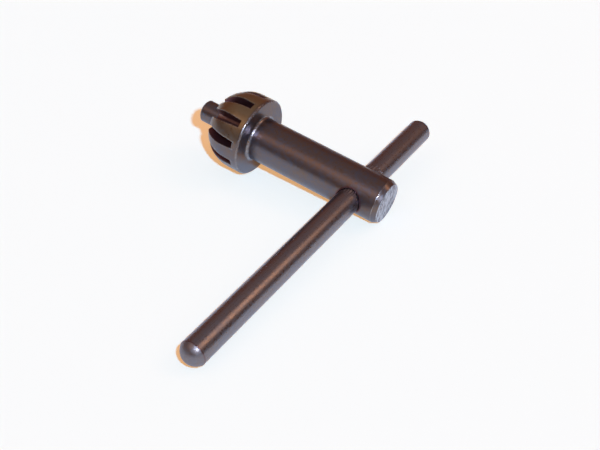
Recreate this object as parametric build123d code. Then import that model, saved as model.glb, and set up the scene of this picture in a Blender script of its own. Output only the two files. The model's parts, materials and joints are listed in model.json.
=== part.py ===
from build123d import *
import math
import os

# Drill chuck key with a T handle, in millimetres.
# The key is one turned and milled steel body, with a plain round bar pressed through its shank.
#
# It is modelled in the key's own axes and then laid down as it comes to rest.
# Own axes: the origin is on the shank's axis at the back face of the pinion,
# +X runs along the shank to its rear end, +Y along the handle's short side.

# Shank
shank_radius = 5.5
shank_length = 36.5            # back face of the pinion to the rear end
shank_fillet = 0.8             # where the shank meets the pinion
end_chamfer_length = 1.2
end_chamfer_depth = 0.6

# Pinion blank
pinion_length = 11.2           # back face to the front of the teeth
crown_radius = 9.9             # largest radius, on the plain collar behind the teeth
crown_length = 4.0             # cylindrical part, from the back face forward
nose_radius = 6.2              # tips of the teeth at their front ends
rim_break = 0.35               # chamfer on the back edge of the crown
nose_round = 0.5               # front corners of the teeth

# Tooth gaps, cut by a form cutter that climbs along a sloping floor
tooth_count = 11
collar_length = 1.8            # left uncut behind the gaps, along the crown
gap_front_radius = 3.4         # floor of a gap at the front of the teeth
gap_rear_radius = 7.6          # floor of a gap at its closed rear end
gap_root_radius = 0.65         # full round at the floor
gap_end_fillet = 0.6           # floor into the closed rear end
gap_end_lean = 12.0            # degrees by which the rear end leans back
flank_angle = 11.0             # degrees from the middle plane of a gap to its flank
first_gap_angle = 2.0          # degrees from the handle's short side

# Pilot pin in front of the teeth
pilot_radius = 2.85
pilot_length = 5.6
pilot_chamfer = 0.4

# Handle bar
bar_radius = 3.0
bar_long_reach = 64.1          # from the shank's axis to the tip of the long side
bar_short_reach = 32.3
bar_setback = 7.5              # from the shank's rear end to the handle's axis
bar_dome = 2.0                 # height of the domed end
bar_edge_break = 0.08

# Rolled grip band: straight ridges all round the bar, which bite in the cross hole
ridge_count = 28
ridge_crest_radius = 3.06
ridge_root_radius = 2.9
band_long_reach = 6.0          # from the shank's axis to the band's end on the long side
band_short_reach = 6.6
band_clearance = 0.01          # radial, between the ridges and the cross hole
hole_chamfer = 0.15

# Places that follow from the sizes above
bar_station = shank_length - bar_setback
hole_radius = ridge_crest_radius + band_clearance
end_radius = shank_radius - end_chamfer_depth
chamfer_station = shank_length - end_chamfer_length


def key_blank():
    """The turned blank: pilot pin, bulged nose, crown and shank, revolved about X."""
    front = -pinion_length - pilot_length
    nose = (-pinion_length, nose_radius)
    crown = (-crown_length, crown_radius)
    root = (0, shank_radius)
    with BuildPart() as blank:
        with BuildSketch(Plane.XY) as profile:
            with BuildLine():
                Polyline(
                    (front, 0),
                    (front, pilot_radius - pilot_chamfer),
                    (front + pilot_chamfer, pilot_radius),
                    (-pinion_length, pilot_radius),
                    nose,
                )
                TangentArc(crown, nose, tangent=(-1, 0))
                Polyline(
                    crown,
                    (-rim_break, crown_radius),
                    (0, crown_radius - rim_break),
                    root,
                    (chamfer_station, shank_radius),
                    (shank_length, end_radius),
                    (shank_length, 0),
                    (front, 0),
                )
            make_face()
            for corner, size in ((nose, nose_round), (root, shank_fillet)):
                fillet(profile.vertices().sort_by_distance((*corner, 0))[0], size)
        revolve(axis=Axis.X)
    return blank.part


def gap_cutter():
    """One tooth gap, in the plane through X and Y: the cutter's section, carried along the floor."""
    lean = math.tan(math.radians(gap_end_lean))
    floor_front = (-pinion_length, gap_front_radius)
    floor_rear = (-collar_length - lean * (crown_radius - gap_rear_radius), gap_rear_radius)
    top = crown_radius + gap_root_radius
    top_rear = -collar_length + lean * (top - crown_radius)
    open_front = -pinion_length - pilot_length

    # Side view: level over the pilot pin, up the sloping floor, closed behind, open above
    with BuildPart() as side:
        with BuildSketch(Plane.XY):
            with BuildLine():
                FilletPolyline(
                    (open_front, gap_front_radius),
                    floor_front,
                    floor_rear,
                    (top_rear, top),
                    (open_front, top),
                    radius=[0, gap_end_fillet, 0],
                )
                Line((open_front, top), (open_front, gap_front_radius))
            make_face()
        extrude(amount=crown_radius, both=True)

    # Cross section: a full round at the floor, with flanks that open outwards
    flank = math.radians(flank_angle)
    root_side = gap_root_radius * math.cos(flank)
    root_height = gap_root_radius * (1 - math.sin(flank))
    wall_height = 2 * crown_radius
    mouth_side = root_side + wall_height * math.tan(flank)
    floor = Vector(*floor_rear) - Vector(*floor_front)
    start = Vector(*floor_front) - floor
    with BuildPart() as channel:
        with BuildSketch(Plane(origin=start, x_dir=(0, 0, -1), z_dir=floor)):
            with BuildLine():
                ThreePointArc((-root_side, root_height), (0, 0), (root_side, root_height))
                Polyline(
                    (root_side, root_height),
                    (mouth_side, root_height + wall_height),
                    (-mouth_side, root_height + wall_height),
                    (-root_side, root_height),
                )
            make_face()
        extrude(amount=3 * floor.length)
    return side.part & channel.part


def drill_for_handle(body):
    """Drills the cross hole and breaks its two mouths, which open on the round shank."""
    centre = (bar_station, 0, 0)
    drilled = body - Pos(*centre) * Rotation(90, 0, 0) * Cylinder(hole_radius, 2 * crown_radius)
    mouths = [
        drilled.edges().sort_by_distance((bar_station, side * shank_radius, 0))[0]
        for side in (1, -1)
    ]
    return chamfer(mouths, hole_chamfer)


def key_body():
    """Pilot pin, bevel pinion and shank in one piece of steel."""
    body = drill_for_handle(key_blank())
    cutter = gap_cutter()
    for number in range(tooth_count):
        turn = first_gap_angle + number * 360 / tooth_count
        body -= Rotation(turn, 0, 0) * cutter
    return body


def plain_bar():
    """Round bar with a shallow dome on each end, revolved about Y."""
    rim_radius = bar_radius - bar_edge_break
    with BuildPart() as bar:
        with BuildSketch(Plane.XY):
            with BuildLine():
                Polyline(
                    (rim_radius, -bar_long_reach + bar_dome),
                    (bar_radius, -bar_long_reach + bar_dome + bar_edge_break),
                    (bar_radius, bar_short_reach - bar_dome - bar_edge_break),
                    (rim_radius, bar_short_reach - bar_dome),
                )
                TangentArc(
                    (0, bar_short_reach), (rim_radius, bar_short_reach - bar_dome), tangent=(1, 0)
                )
                TangentArc(
                    (0, -bar_long_reach), (rim_radius, -bar_long_reach + bar_dome), tangent=(1, 0)
                )
                Line((0, -bar_long_reach), (0, bar_short_reach))
            make_face()
        revolve(axis=Axis.Y)
    return bar.part


def grip_band(ridged):
    """The stretch of the bar that is rolled: as it is before, or with its ridges."""
    with BuildPart() as band:
        with BuildSketch(Plane(origin=(0, -band_long_reach, 0), z_dir=(0, 1, 0))):
            if ridged:
                with BuildLine():
                    step = 180 / ridge_count
                    radii = [ridge_crest_radius, ridge_root_radius] * ridge_count
                    rim = [
                        Vector(radius, 0).rotate(Axis.Z, number * step)
                        for number, radius in enumerate(radii)
                    ]
                    Polyline(*rim, close=True)
                make_face()
            else:
                Circle(ridge_crest_radius)
        extrude(amount=band_long_reach + band_short_reach)
    return band.part


def handle_bar():
    """Plain bar with its middle rolled into straight ridges."""
    bar = plain_bar() - grip_band(ridged=False)
    bar = bar + grip_band(ridged=True)
    return Pos(bar_station, 0, 0) * bar


def resting_place(pieces):
    """The pose in which the key lies still: on the crown's back edge, on the shank's rear
    edge and on the long end of the handle, with the middle of its box over the origin."""
    # Pitch: the plane that touches the back edge of the crown and the shank's rear edge
    pitch = math.atan2(crown_radius - shank_radius, chamfer_station + rim_break)
    height = crown_radius * math.cos(pitch) - rim_break * math.sin(pitch)

    # Roll: the long side of the handle comes down until the end of its cylinder touches
    axis_height = height - bar_station * math.sin(pitch)
    end_station = bar_long_reach - bar_dome - bar_edge_break
    droop = math.asin(axis_height / math.hypot(end_station, bar_radius))
    droop -= math.atan2(bar_radius, end_station)
    roll = math.asin(math.sin(droop) / math.cos(pitch))

    laid = Pos(0, 0, height) * Rotation(0, math.degrees(pitch), 0)
    laid *= Rotation(math.degrees(roll), 0, 0)
    box = Compound([laid * piece for piece in pieces]).bounding_box(optimal=True)
    print("pitch", math.degrees(pitch), "roll", math.degrees(roll), "lowest", box.min.Z)
    return Pos(-box.center().X, -box.center().Y, -box.min.Z) * laid


parts = {"key_body": key_body(), "handle_bar": handle_bar()}
place = resting_place(parts.values())
os.makedirs("parts", exist_ok=True)
for name, part in parts.items():
    export_step(place * part, f"parts/{name}.step")
    print(name, "volume", part.volume)
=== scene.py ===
# %% [markdown]
# A drill chuck key lies on a sheet of white paper. The CAD model gives its two pieces their
# true form: a turned and milled body, with a plain bar pressed through it. What is left to
# Blender is the finish. The real key is hot-blackened steel, a thin dark film that still
# reflects like metal, so the look comes from three things: what the steel reflects, how the
# cutter and the drawing die left its surface, and where the film is thin. The script builds
# them one after another, with what the steel reflects last.

import json
import math

import bmesh
import bpy
from mathutils import Matrix, Vector

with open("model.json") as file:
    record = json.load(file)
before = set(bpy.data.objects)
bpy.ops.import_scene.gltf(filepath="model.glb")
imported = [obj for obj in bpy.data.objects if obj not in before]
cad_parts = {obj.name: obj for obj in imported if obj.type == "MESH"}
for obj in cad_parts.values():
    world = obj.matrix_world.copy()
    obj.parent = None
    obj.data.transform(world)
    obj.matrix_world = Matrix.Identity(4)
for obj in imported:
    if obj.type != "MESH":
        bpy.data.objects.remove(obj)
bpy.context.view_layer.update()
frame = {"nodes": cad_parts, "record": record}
mounts = {mount["name"]: mount for mount in frame["record"]["mounts"]}

# %% [markdown]
# The key lies tilted, on its rim, its rear edge and the tip of its handle. A finish follows
# the turned axes, not the floor, so every pattern is laid out in the key's own axes: X along
# the shank to its rear end, Y along the handle's short side, origin at the pinion's back
# face. The record's mounts give the directions. Typing the tilt in by hand would work too,
# but it would go wrong as soon as the model changed.

# %% The key's own axes
MM = 0.001

shank_length = 36.5 * MM        # from the pinion's back face to the rear end
shank_radius = mounts["shank"]["dims"]["r_mm"] * MM

along_shank = Vector(mounts["rear_face"]["axis"]).normalized()
along_bar = -Vector(mounts["handle_end"]["axis"]).normalized()
across = along_shank.cross(along_bar).normalized()
own_origin = Vector(mounts["rear_face"]["pos_m"]) - shank_length * along_shank
own_turn = Matrix((along_shank, along_bar, across))
own_to_world = Matrix.Translation(own_origin) @ own_turn.transposed().to_4x4()
print("own origin, mm", [round(value / MM, 2) for value in own_origin])

# %% [markdown]
# A material is a net of nodes, and its arithmetic is easier to read as Python than as
# wires. One small class wraps an output socket: a sum or product of two wrapped sockets adds
# the Math node that works it out, and one method makes any other node. The alternative is a
# saved node group, but a group hides its values from whoever reads the script.

# %% Sockets that can be added and multiplied
class Wire:
    """One output socket of a material, whose arithmetic adds Math nodes."""

    def __init__(self, tree, socket=None):
        self.tree = tree
        self.socket = socket

    def node(self, kind, values=None, output=0, stops=(), **settings):
        """Adds a node: its settings first, then the values or links of its sockets."""
        made = self.tree.nodes.new("ShaderNode" + kind)
        for name, value in settings.items():
            setattr(made, name, value)
        while stops and len(made.color_ramp.elements) < len(stops):
            made.color_ramp.elements.new(1.0)
        for number, (position, colour) in enumerate(stops):
            element = made.color_ramp.elements[number]
            element.position = position
            element.color = (*colour, 1.0)
        for name, value in (values or {}).items():
            if isinstance(value, Wire):
                self.tree.links.new(value.socket, made.inputs[name])
            else:
                made.inputs[name].default_value = value
        return Wire(self.tree, made.outputs[output])

    def math(self, operation, *others):
        """A Math node with this value first, and the others after it."""
        return self.node("Math", dict(enumerate((self, *others))), operation=operation)

    def __add__(self, other):
        return self.math("ADD", other)

    def __sub__(self, other):
        return self.math("SUBTRACT", other)

    def __mul__(self, other):
        return self.math("MULTIPLY", other)

    def __truediv__(self, other):
        return self.math("DIVIDE", other)

    __radd__ = __add__
    __rmul__ = __mul__

    def __rsub__(self, other):
        return self.node("Math", {0: other, 1: self}, operation="SUBTRACT")

    def size(self):
        """The value without its sign."""
        return self.math("ABSOLUTE")

    def ramp_up(self, start, end):
        """0 below start, 1 above end, and smooth between them. It runs down if end is lower."""
        values = {"Value": self, "From Min": start, "From Max": end}
        return self.node("MapRange", values, interpolation_type="SMOOTHSTEP")

    def into(self, output_kind):
        """Leads this shader to the output of its tree."""
        output = self.tree.nodes.new("ShaderNodeOutput" + output_kind)
        self.tree.links.new(self.socket, output.inputs["Surface"])


def new_material(name):
    """An empty material and the wire to build it with."""
    material = bpy.data.materials.new(name)
    material.use_nodes = True
    material.node_tree.nodes.clear()
    return material, Wire(material.node_tree)


print("helper ready:", Wire.__name__)

# %% [markdown]
# Each finish reads where a point lies on the key. Object coordinates do that without any UV
# map, because both pieces sit at the scene's origin, and a Mapping node turns them into the
# key's own axes in millimetres. Two more values are handy on turned work: the distance from
# the axis, and the angle round it.

# %% Where a point lies on the key
def own_place(wire):
    """The point in the key's own axes, in millimetres, and its three parts."""
    turn = own_turn.to_euler("XYZ")
    shift = -(own_turn @ own_origin) / MM
    here = wire.node("TexCoord", output="Object")
    values = {"Vector": here, "Location": shift, "Rotation": turn, "Scale": (1 / MM,) * 3}
    point = wire.node("Mapping", values, vector_type="POINT")
    parts = [point.node("SeparateXYZ", {"Vector": point}, output=axis) for axis in "XYZ"]
    return point, parts


def from_axis(a, b):
    """The distance from an axis, from two parts that are square to it."""
    return (a * a + b * b).math("SQRT")


def noise(point, scale, detail=2.0, stretch=(1.0, 1.0, 1.0), roughness=0.5):
    """Noise from 0 to 1 with cells of about 1 / scale millimetres, drawn out by stretch."""
    drawn = point.node("Mapping", {"Vector": point, "Scale": stretch}, vector_type="POINT")
    values = {"Vector": drawn, "Scale": scale, "Detail": detail, "Roughness": roughness}
    return point.node("TexNoise", values, output="Fac")


def blend(amount, first, second):
    """A colour between two others. Colours go through Mix, since a Math node turns them grey."""
    ends = [end if isinstance(end, Wire) else (*end, 1.0) for end in (first, second)]
    values = {0: amount, 6: ends[0], 7: ends[1]}
    return amount.node("Mix", values, output=2, data_type="RGBA")


print("patterns run in millimetres of the key's own axes")

# %% [markdown]
# Blackening turns the outermost steel into magnetite. The film is a dark metal to the eye:
# it has no colour of its own in the shadows and mirrors its surroundings dimly. So it is a
# metallic shader with a dark base, not a grey paint. It is never even. Where the bath ran
# slower it is browner, elsewhere bluer, and where it is thin the steel shines through.

# %% Colours of the blackened steel
brown_film = (0.172, 0.125, 0.108)
blue_film = (0.126, 0.130, 0.176)
patch_scale = 0.22
patch_span = (0.40, 0.62)       # the noise values between which brown turns to blue
mottle_scale = 1.3
mottle_span = (0.35, 0.66)
mottle_share = 0.60             # the patches have the rest


def mottle(point):
    """Blotches under a millimetre wide, where the bath bit more or less."""
    return noise(point, mottle_scale, detail=4.0, roughness=0.6).ramp_up(*mottle_span)


def film_colour(point):
    """Brown and blue patches a few millimetres wide, with the mottle over them."""
    patches = noise(point, patch_scale, detail=3.0).ramp_up(*patch_span)
    bluer = patches * (1 - mottle_share) + mottle(point) * mottle_share
    return blend(bluer, brown_film, blue_film)


print("film from", brown_film, "to", blue_film)

# %% [markdown]
# No edge of a real tool is perfectly sharp. Tumbling breaks them all by a few tenths of a
# millimetre, and that narrow round catches a white glint from any lamp. Fillets in the model
# would cost thousands of faces. The Bevel node does it in the shading alone: it bends the
# normal near an edge, as a fillet would. A Bump node then adds the fine relief, some
# micrometres high. The grazing tint sets how bright the steel gets along its outline.

# %% The metal itself
relief_height = 0.006           # millimetres
edge_samples = 6


def finish(name, colour, roughness, relief, edge_round, grazing_tint):
    """The metal itself: its colour, its roughness, its fine relief and its broken edges."""
    rounded = relief.node("Bevel", {"Radius": edge_round * MM}, samples=edge_samples)
    values = {"Height": relief, "Distance": relief_height * MM, "Strength": 1.0, "Normal": rounded}
    normal = relief.node("Bump", values)
    values = {"Base Color": colour, "Metallic": 1.0, "Roughness": roughness, "Normal": normal}
    values["Specular Tint"] = (*grazing_tint, 1.0)
    metal = colour.node("BsdfPrincipled", values)
    metal.into("Material")
    print("finish", name, "has", len(colour.tree.nodes), "nodes")


# %% [markdown]
# The body is turned from bar stock, so fine rings run round the pilot, the cone, the crown
# and the shank. The gaps between the teeth are milled. They are rougher, and painted darker
# as painted shade in the recesses, with a lighter, browner strip along each floor as a painted
# highlight. Each of these places is a mask worked out from the body's own sizes. Painting them
# by hand on a UV map would look no better and wouldn't follow the model.

# %% Sizes that the body's masks need, in millimetres
crown_radius = 9.9
crown_front = -4.0
nose_radius = 6.2
nose_front = -11.2
rim_break = 0.35
pilot_front = -16.8
pilot_radius = 2.85
shank_side = shank_radius / MM
bar_station = 29.0
end_station = shank_length / MM
end_radius = 4.9
chamfer_station = end_station - 1.2

nose_run = crown_front - nose_front
nose_drop = crown_radius - nose_radius
bulge_radius = (nose_run**2 + nose_drop**2) / (2 * nose_drop)
print("radius of the bulged nose", round(bulge_radius, 3))

# %% The tooth gaps, in millimetres and radians
tooth_count = 11
tooth_pitch = 2 * math.pi / tooth_count
first_gap = math.radians(2.0)
gap_rear = -1.2                 # on the collar, a little past the gaps' rear ends
floor_front_radius = 3.4
floor_rear_radius = 7.6
floor_rear_station = -2.28
floor_slope = (floor_rear_radius - floor_front_radius) / (floor_rear_station - nose_front)
floor_tilt = math.cos(math.atan(floor_slope))
flank_angle = math.radians(11.0)
flank_slope = math.tan(flank_angle)
root_radius = 0.65              # the full round along a gap's floor
root_side = root_radius * math.cos(flank_angle)         # where the round meets a flank
root_height = root_radius * (1 - math.sin(flank_angle))
print("teeth", tooth_count, "floor slope", round(floor_slope, 3))

# %% Masks for the teeth: where each begins and where it is full, in millimetres
front_fade = (0.02, 0.10)       # behind the teeth's front faces
rear_fade = (0.00, 0.10)        # ahead of gap_rear
wall_fade = (0.10, 0.35)        # under the pinion's surface
# where the painted highlight on a gap's floor lies
strip_height = (0.95, 0.50)     # above a gap's floor
strip_side = (0.60, 0.30)       # aside from the gap's middle
edge_shift = 0.08               # from the gap's edge onto the tooth
edge_width = 0.22
edge_depth = (0.45, 0.15)       # under the pinion's surface


def tooth_masks(x, y, z, rho):
    """Inside a gap, on its floor, and on the edge where it opens in the pinion's surface."""
    ahead = (x - crown_front).math("MINIMUM", 0.0)
    bulge = (bulge_radius**2 - ahead * ahead).math("SQRT")
    depth = bulge + (crown_radius - bulge_radius) - rho
    on_teeth = (x - nose_front).ramp_up(*front_fade) * (gap_rear - x).ramp_up(*rear_fade)
    inside = depth.ramp_up(*wall_fade) * on_teeth

    turned = z.math("ARCTAN2", y) - first_gap + tooth_pitch * tooth_count
    folded = turned.math("PINGPONG", tooth_pitch / 2)
    aside = rho * folded.math("SINE")
    above = rho - ((x - nose_front) * floor_slope + floor_front_radius)
    on_floor = above.ramp_up(*strip_height) * aside.ramp_up(*strip_side)

    half_width = (above * floor_tilt - root_height) * flank_slope + root_side
    edge = (aside - half_width - edge_shift).size().ramp_up(edge_width, 0.0)
    return inside, inside * on_floor, edge * on_teeth * depth.ramp_up(*edge_depth)


print("masks ready for", tooth_count, "gaps")

# %% [markdown]
# Edges catch every knock in the drawer, so the film is rubbed thin there, but never evenly:
# a coarse noise leaves some stretches dark. The lighter bands on the crown's rim, the root
# fillet and the rear chamfer are painted highlights where the lamp glints, and on the teeth's
# edges the lightening is both real wear and painted highlight. The rear end was faced off with
# a worn tool and scraped afterwards, which left it the brightest place of all. A ring round
# the corner where the handle goes in is painted darker, as painted shade.

# %% Where the body is rubbed, and where glints are painted
fillet_middle = 0.25            # out from the shank's side and from the pinion's back face
# real wear on the pilot's and the nose's edges and the rear face's rim; painted highlight on the
# crown's rim, the root fillet and the rear chamfer's edge, where the lamp glints
rubbed_and_glint_circles = (              # station, radius, and the width over which the wear fades
    (pilot_front, pilot_radius, 0.35),
    (nose_front, nose_radius, 0.28),
    (-rim_break / 2, crown_radius - rim_break / 2, 0.40),
    (fillet_middle, shank_side + fillet_middle, 0.55),
    (chamfer_station, shank_side, 0.16),
    (end_station, end_radius, 0.20),
)
lightened_patch_scale = 0.9
lightened_patch_span = (0.35, 0.65)
tooth_wear_and_glint = 0.8


def patchy(point, least, most):
    """A share that comes and goes over the surface, between two bounds."""
    patches = noise(point, lightened_patch_scale, detail=3.0).ramp_up(*lightened_patch_span)
    return patches * (most - least) + least


def rubbed_and_glint_places(point, x, rho, tooth_edge):
    """How far the film is rubbed away, or painted lighter as a highlight where the lamp glints,
    from 0 to 1.
    """
    lightened = tooth_edge * tooth_wear_and_glint
    for station, radius, width in rubbed_and_glint_circles:
        lightened = lightened + from_axis(x - station, rho - radius).ramp_up(width, 0.0)
    return (lightened * patchy(point, least=0.3, most=0.9)).math("MINIMUM", 1.0)


print("circles rubbed:", len(rubbed_and_glint_circles))

# %% [markdown]
# Under the colour lies what the tools left: rings from turning, scrapes on the rear face and
# an even grain from the bath. Each is one noise, with its own scale and stretch. Rings and
# grain lead to the gloss and the relief alike, and the scrapes to the colour and the relief,
# so that a scratch which looks bright is also the one that catches the light.

# %% What the tools left on the body
ring_scale = 5.0
ring_stretch = (1.0, 0.02, 0.02)
grain_scale = 9.0
streak_scale = 1.3
streak_stretch = (1.0, 1.9, 0.45)


def grain(point):
    """The fine even grain of the bath, on both pieces."""
    return noise(point, grain_scale, detail=3.0, roughness=0.65)


def turned_rings(point):
    """Rings round the shank's axis, finer than the eye can count."""
    return noise(point, ring_scale, detail=3.0, stretch=ring_stretch)


def scraped_streaks(point):
    """Short strokes across the rear face."""
    return noise(point, streak_scale, detail=4.0, stretch=streak_stretch, roughness=0.6)


print("rings, grain and streaks, cells per millimetre", ring_scale, grain_scale, streak_scale)

# %% [markdown]
# The body's colour goes on in layers, like coats of paint: the film first, and then each
# place over it, with a share that says how much it hides. The pinion's upper teeth are painted
# warmer, a painted reflection of the warm room above them, and the body's whole length below
# its axis is painted bluer, a painted reflection of the pale floor. One Mix node for each
# layer keeps their order easy to read and to change.

# %% Colours of the body, their shares and where they begin and are full, in millimetres
# painted reflection: the pinion's upper teeth are painted warmer, for the warm room above that
# they mirror
painted_warm_top = (0.290, 0.218, 0.124)
# painted reflection: the body below its axis is painted bluer, for the pale floor that it mirrors
painted_cool_underside = (0.145, 0.160, 0.220)
# painted shade: the colour that darkens the tooth gaps, the ring round the handle's hole and the
# crease of each dome
painted_shade_colour = (0.142, 0.063, 0.074)
# painted highlight: a lighter, browner strip along each gap's floor
painted_floor_highlight = (0.330, 0.205, 0.170)
# rubbed film, also used as painted highlight on the crown's rim, the root fillet, the rear chamfer
# and the teeth's edges
rubbed_and_glint_film = (0.36, 0.35, 0.38)
bare_steel = (0.46, 0.48, 0.565)
scratch_dark = (0.13, 0.12, 0.155)
turned_tint = (0.92, 0.93, 1.00)

# how much each layer hides: the warm top and the cool underside are painted reflections, the ring
# at the hole's mouth is painted shade, the gap floors carry a painted highlight
painted_warm_top_share = 0.85
painted_cool_underside_share = 0.60
mouth_shade_share = 0.80
painted_floor_highlight_share = 0.80
rubbed_and_glint_share = 0.75
painted_warm_top_heights = (1.5, 8.0)      # over the shank's axis
painted_cool_underside_heights = (2.0, -5.0)
collar_fade = (-0.2, -1.0)      # from the pinion's back face
nose_fade = (-0.4, 0.0)         # from the teeth's front faces
mouth_shade_radius = 3.25
mouth_shade_fade = 0.5
end_skin = (-0.03, -0.01)       # from the rear end
scratch_span = (0.42, 0.55)     # the noise values between which a scratch turns to steel
# the warm top and the bluer underside are painted reflections
print("straw on the teeth", painted_warm_top_share, "bluer below", painted_cool_underside_share)

# %% The body's finish
body_edge_round = 0.30
body_roughness = 0.20           # and what each pattern and place adds to it
speck_rough, ring_rough, mottle_rough = 0.12, 0.06, 0.10
gap_rough, lightened_rough, end_rough = 0.10, -0.10, 0.10
line_relief, speck_relief, streak_relief = 0.50, 0.35, 1.20    # times relief_height


def body_finish():
    material, wire = new_material("blackened_turned_steel")
    point, (x, y, z) = own_place(wire)
    rho = from_axis(y, z)
    inside, floor_highlight_place, tooth_edge = tooth_masks(x, y, z, rho)
    lightened = rubbed_and_glint_places(point, x, rho, tooth_edge)

    rings, specks, streaks = turned_rings(point), grain(point), scraped_streaks(point)
    on_pinion = x.ramp_up(*collar_fade) * (x - nose_front).ramp_up(*nose_fade)
    # a ring of painted shade round the hole where the handle goes in
    mouth_shade = from_axis(x - bar_station, z).ramp_up(mouth_shade_radius + mouth_shade_fade, mouth_shade_radius)
    on_end = (x - end_station).ramp_up(*end_skin)
    end_colour = blend(streaks.ramp_up(*scratch_span), scratch_dark, bare_steel)

    colour = film_colour(point)
    # painted reflection of the warm room on the pinion's upper teeth
    colour = blend(on_pinion * z.ramp_up(*painted_warm_top_heights) * painted_warm_top_share, colour, painted_warm_top)
    # painted reflection of the pale floor on the underside
    colour = blend(z.ramp_up(*painted_cool_underside_heights) * painted_cool_underside_share, colour, painted_cool_underside)
    # painted shade in the tooth gaps and in a ring round the handle's hole
    colour = blend(inside.math("MAXIMUM", mouth_shade * mouth_shade_share), colour, painted_shade_colour)
    # painted highlight along the gaps' floors
    colour = blend(floor_highlight_place * painted_floor_highlight_share, colour, painted_floor_highlight)
    # rubbed edges, with painted highlights on the crown's rim, the root fillet, the chamfer and
    # the teeth's edges
    colour = blend(lightened * rubbed_and_glint_share, colour, rubbed_and_glint_film)
    colour = blend(on_end, colour, end_colour)

    roughness = specks * speck_rough + rings * ring_rough + mottle(point) * mottle_rough
    roughness = roughness + inside * gap_rough + lightened * lightened_rough + on_end * end_rough
    roughness = roughness + body_roughness
    relief = rings * (1 - inside) * line_relief + specks * speck_relief
    relief = relief + streaks * on_end * streak_relief
    finish(material.name, colour, roughness, relief, body_edge_round, turned_tint)
    return material


body = frame["nodes"]["key_body"]
body.material_slots[0].material = body_finish()

# %% [markdown]
# The handle is cut from cold-drawn bar. Drawing pulls every scratch out lengthwise, so its
# grain runs along the bar, while its two domed tips were turned. Drawn steel is smooth and
# takes a thinner film, which makes it the shinier piece. The rolled ridges in its middle are
# rubbed bright where they were forced through, and a dark line of painted shade lies in the
# crease of each dome. Anisotropic gloss could draw the grain too, but the export can't carry
# it.

# %% Sizes of the handle, in millimetres
long_reach = 64.1
short_reach = 32.3
dome_height = 2.08              # with its broken edge
bar_middle = (short_reach - long_reach) / 2
bar_half = (short_reach + long_reach) / 2 - dome_height
plain_radius = 3.0
print("handle's middle, mm", round(bar_middle, 2), "from there to a crease", round(bar_half, 2))

# %% The handle's finish
thin_film = (0.31, 0.31, 0.375)
drawn_tint = (0.88, 0.87, 0.97)
drawn_scale = 4.0
drawn_stretch = (1.0, 0.03, 1.0)
tip_fade = 0.1
crease_width = 0.25
crest_heights = (0.01, 0.05)    # of a ridge, over the plain bar
thin_least, thin_most = 0.15, 0.65
crest_share = 0.7
crease_shade_share = 0.6
bar_edge_round = 0.20
bar_roughness = 0.17
bar_speck_rough, drawn_rough, bar_mottle_rough, tip_rough = 0.10, 0.10, 0.08, 0.12


def bar_finish():
    material, wire = new_material("blackened_drawn_steel")
    point, (x, y, z) = own_place(wire)
    rho = from_axis(x - bar_station, z)

    drawn = noise(point, drawn_scale, detail=4.0, stretch=drawn_stretch, roughness=0.6)
    specks = grain(point)
    past_crease = (y - bar_middle).size() - bar_half
    on_tip = past_crease.ramp_up(0.0, tip_fade)
    crease = (past_crease + tip_fade).size().ramp_up(crease_width, 0.0)
    crest = (rho - plain_radius).ramp_up(*crest_heights)
    lightened = crest * patchy(point, least=0.4, most=0.9)

    thinned = drawn * (thin_most - thin_least) + thin_least
    colour = blend(thinned, film_colour(point), thin_film)
    colour = blend(lightened * crest_share, colour, rubbed_and_glint_film)
    # a dark line of painted shade in the crease of each dome
    colour = blend(crease * crease_shade_share, colour, painted_shade_colour)
    roughness = specks * bar_speck_rough + drawn * drawn_rough + on_tip * tip_rough
    roughness = roughness + mottle(point) * bar_mottle_rough + bar_roughness
    relief = drawn * line_relief + specks * speck_relief
    finish(material.name, colour, roughness, relief, bar_edge_round, drawn_tint)
    return material


bar = frame["nodes"]["handle_bar"]
bar.material_slots[0].material = bar_finish()

# %% [markdown]
# The floor is a sheet of plain white paper. It is a wide disc, so that every view ends on
# it and the steel's undersides mirror it. A white floor lit to exactly white leaves no room
# for a shadow that is pale and soft, so part of what the eye sees is the paper's own even
# glow, with the same share in the steel's reflections, and the rest takes light and shadow.
# The glow is warm and the flash is bluish. Together they make white, and where the flash
# can't reach, the warm part alone is left: the shadow comes out orange.

# %% The floor
room_radius = 3.5
room_sides = 64
paper_white = (0.97, 0.97, 0.97)
paper_tone = (1.45, 0.78, 0.30)
even_share = 0.42


def floor_finish():
    material, wire = new_material("white_paper")
    seen = 0.0
    for kind in ("Camera", "Glossy", "Transmission"):
        seen = wire.node("LightPath", output=f"Is {kind} Ray") + seen
    paper = wire.node("BsdfDiffuse", {"Color": (*paper_white, 1.0)})
    even = wire.node("Emission", {"Color": (*paper_tone, 1.0), "Strength": 1.0})
    share = seen.math("MINIMUM", 1.0) * even_share
    wire.node("MixShader", {0: share, 1: paper, 2: even}).into("Material")
    return material


def stage_piece(name, shape, material):
    """Makes an object of a bmesh, with its material, and links it to the scene."""
    mesh = bpy.data.meshes.new(name)
    shape.to_mesh(mesh)
    shape.free()
    mesh.materials.append(material)
    piece = bpy.data.objects.new(name, mesh)
    bpy.context.scene.collection.objects.link(piece)
    return piece


disc = bmesh.new()
bmesh.ops.create_circle(disc, cap_ends=True, segments=room_sides, radius=room_radius)
floor = stage_piece("floor", disc, floor_finish())
print("floor across, m", [round(side, 3) for side in floor.dimensions])

# %% [markdown]
# The camera stands where the photograph's did. Its place was found from the outlines of the
# round pieces: an outline of known radius fixes a line of sight, and a few of them fix the
# camera. It is set down in the key's own axes, in millimetres, so that it goes along if the
# key comes to rest a little differently. Placing it by eye would leave the bar's two ends out.

# %% Camera
camera_place = Vector((89.743, -142.768, 131.138))
camera_target = Vector((21.286, -12.271, -7.480))
camera_up = Vector((-0.45253, 0.52686, 0.71947))
focal_length = 51.568
sensor_width = 36.0


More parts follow.
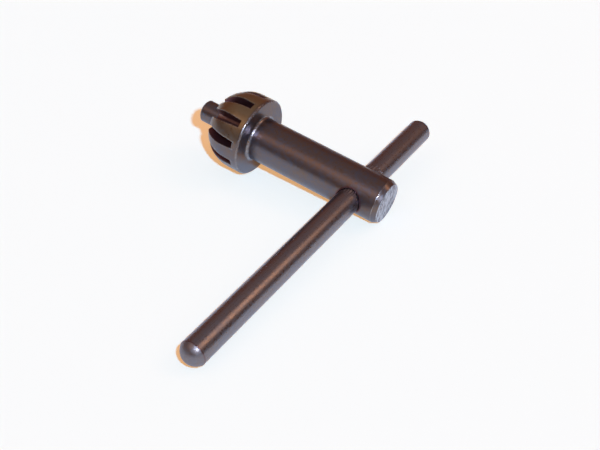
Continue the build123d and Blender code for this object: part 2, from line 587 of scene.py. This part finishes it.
def turned_to(back, up):
    """The turn of a camera or lamp that looks against back, with up towards its top."""
    side = up.cross(back).normalized()
    return Matrix((side, back.cross(side), back)).transposed().to_4x4()


def photo_camera():
    data = bpy.data.cameras.new("photo_camera")
    data.lens = focal_length
    data.sensor_width = sensor_width
    data.clip_start = 0.01
    camera = bpy.data.objects.new("photo_camera", data)
    turn = turned_to((camera_place - camera_target).normalized(), camera_up)
    camera.matrix_world = own_to_world @ Matrix.Translation(camera_place * MM) @ turn
    bpy.context.scene.collection.objects.link(camera)
    return camera


camera = photo_camera()
bpy.context.scene.camera = camera
bpy.context.scene.view_settings.view_transform = "Standard"
print("camera at, mm", [round(value / MM, 1) for value in camera.matrix_world.translation])

# %% [markdown]
# Polished metal shows its surroundings, so the room matters more than the lamps. The world is
# pale, and is what a low view sees behind the key. Over the key stands a tent of dim warm
# cloth that the camera looks through: it is what the upper sides mirror, as a photographer
# sets dark cards round a shiny tool. It is dimmest near the floor, and on the side away from
# the camera it glows redder, which gives the steep upper sides their brown. A plain grey
# world would make the steel look like paint.

# %% The room
world_tone = (0.95, 0.95, 0.94)
tent_glow = (                   # height, as a share of the radius, and colour
    (0.00, (0.17, 0.125, 0.12)),
    (0.30, (0.22, 0.145, 0.125)),
    (0.55, (0.36, 0.24, 0.19)),
    (1.00, (0.35, 0.265, 0.25)),
)
far_glow = (0.32, 0.14, 0.095)
far_side = (0.10, 0.60)         # shares of the radius, from the middle away from the camera
far_height = (0.85, 0.45)       # and upwards


def pale_world():
    world = bpy.data.worlds.new("studio")
    world.use_nodes = True
    world.node_tree.nodes.clear()
    values = {"Color": (*world_tone, 1.0), "Strength": 1.0}
    Wire(world.node_tree).node("Background", values).into("World")
    bpy.context.scene.world = world


def tent_finish():
    material, wire = new_material("warm_cloth")
    here = wire.node("TexCoord", output="Object")
    x, y, z = [here.node("SeparateXYZ", {"Vector": here}, output=axis) for axis in "XYZ"]
    height = z / room_radius
    away = -camera.matrix_world.translation.xy.normalized() / room_radius
    behind = (x * away.x + y * away.y).ramp_up(*far_side) * height.ramp_up(*far_height)
    glow = blend(behind, height.node("ValToRGB", {"Fac": height}, stops=tent_glow), far_glow)
    glow.node("Emission", {"Color": glow, "Strength": 1.0}).into("Material")
    return material


def stage_tent():
    """The upper half of a sphere, which the camera doesn't see."""
    dome = bmesh.new()
    rings = room_sides // 2
    bmesh.ops.create_uvsphere(dome, u_segments=room_sides, v_segments=rings, radius=room_radius)
    whole = dome.verts[:] + dome.edges[:] + dome.faces[:]
    cut = {"plane_co": (0, 0, 0), "plane_no": (0, 0, 1), "clear_inner": True}
    bmesh.ops.bisect_plane(dome, geom=whole, **cut)
    tent = stage_piece("tent", dome, tent_finish())
    tent.visible_camera = False
    return tent


pale_world()
tent = stage_tent()
print("tent faces", len(tent.data.polygons))

# %% [markdown]
# The main lamp is small and stands just beside the lens, as a camera's own flash does. Its
# light makes the short crisp shadow beside the pinion and the white glints on the rounded
# edges. A bare lamp so near would leave the far side of the paper dim, so its nodes keep its
# strength the same at any distance and raise it towards the sides. The paper needs the
# flash bluish, to whiten its warm glow, and the steel needs it almost white. So it is made
# twice in one place: one lamp is hidden from gloss, and the other from matt surfaces.

# %% The flash
flash_place = (0.0215, 0.020, -0.018)   # from the lens: right, up and ahead
flash_radius = 0.0045
flash_power = 32.0
grazing_limit = 0.03                    # keeps the light finite along the horizon
paper_flash = (0.265, 1.06, 1.59)
steel_flash = (0.70, 0.84, 1.00)


def flash_lamp(name, colour):
    lamp = bpy.data.lights.new(name, "POINT")
    lamp.shadow_soft_size = flash_radius
    lamp.energy = flash_power
    lamp.color = colour
    lamp.use_nodes = True
    wire = Wire(lamp.node_tree)
    steady = wire.node("LightFalloff", {"Strength": 1.0, "Smooth": 0.0}, output="Constant")
    ray = wire.node("NewGeometry", output="Incoming")
    down = ray.node("SeparateXYZ", {"Vector": ray}, output="Z").size()
    even = steady / down.math("MAXIMUM", grazing_limit)
    emission = lamp.node_tree.nodes["Emission"]
    lamp.node_tree.links.new(even.socket, emission.inputs["Strength"])
    piece = bpy.data.objects.new(name, lamp)
    piece.location = camera.matrix_world @ Vector(flash_place)
    bpy.context.scene.collection.objects.link(piece)
    return piece


flash_on_paper = flash_lamp("flash_on_paper", paper_flash)
flash_on_paper.visible_glossy = False
flash_on_steel = flash_lamp("flash_on_steel", steel_flash)
flash_on_steel.visible_diffuse = False
print("flash at, mm", [round(value / MM, 1) for value in flash_on_paper.location])

# %% [markdown]
# Two wide warm lamps are there for their reflections: the long streaks along the handle and
# along the shank. A round bar mirrors a lamp as a line, and the line only runs the bar's
# whole length if the lamp is long the same way, so each is turned to its bar. Their powers
# are low, because their light on the paper must stay too weak to see.

# %% Two soft lamps
lamp_distance = 0.9
lamp_glow = (1.0, 0.57, 0.32)


def soft_lamp(name, place, power, along, length, width):
    """A wide lamp that shines at the origin, with its length turned to lie along a direction.

    Its place is an azimuth and an elevation in degrees. Azimuth 0 is on the -Y side, and 90
    on the +X side."""
    lamp = bpy.data.lights.new(name, "AREA")
    lamp.shape = "ELLIPSE"
    lamp.size, lamp.size_y = width, length
    lamp.energy = power
    lamp.color = lamp_glow
    turn, rise = (math.radians(angle) for angle in place)
    back = Vector((math.sin(turn), -math.cos(turn), math.tan(rise))).normalized()
    piece = bpy.data.objects.new(name, lamp)
    piece.matrix_world = Matrix.Translation(back * lamp_distance) @ turned_to(back, along)
    bpy.context.scene.collection.objects.link(piece)


soft_lamp(
    "handle_streak_lamp", (132.5, 45.9), power=0.64, along=along_bar, length=0.19, width=0.44
)
soft_lamp(
    "shank_streak_lamp", (-28.0, 52.0), power=0.37, along=along_shank, length=0.50, width=0.42
)
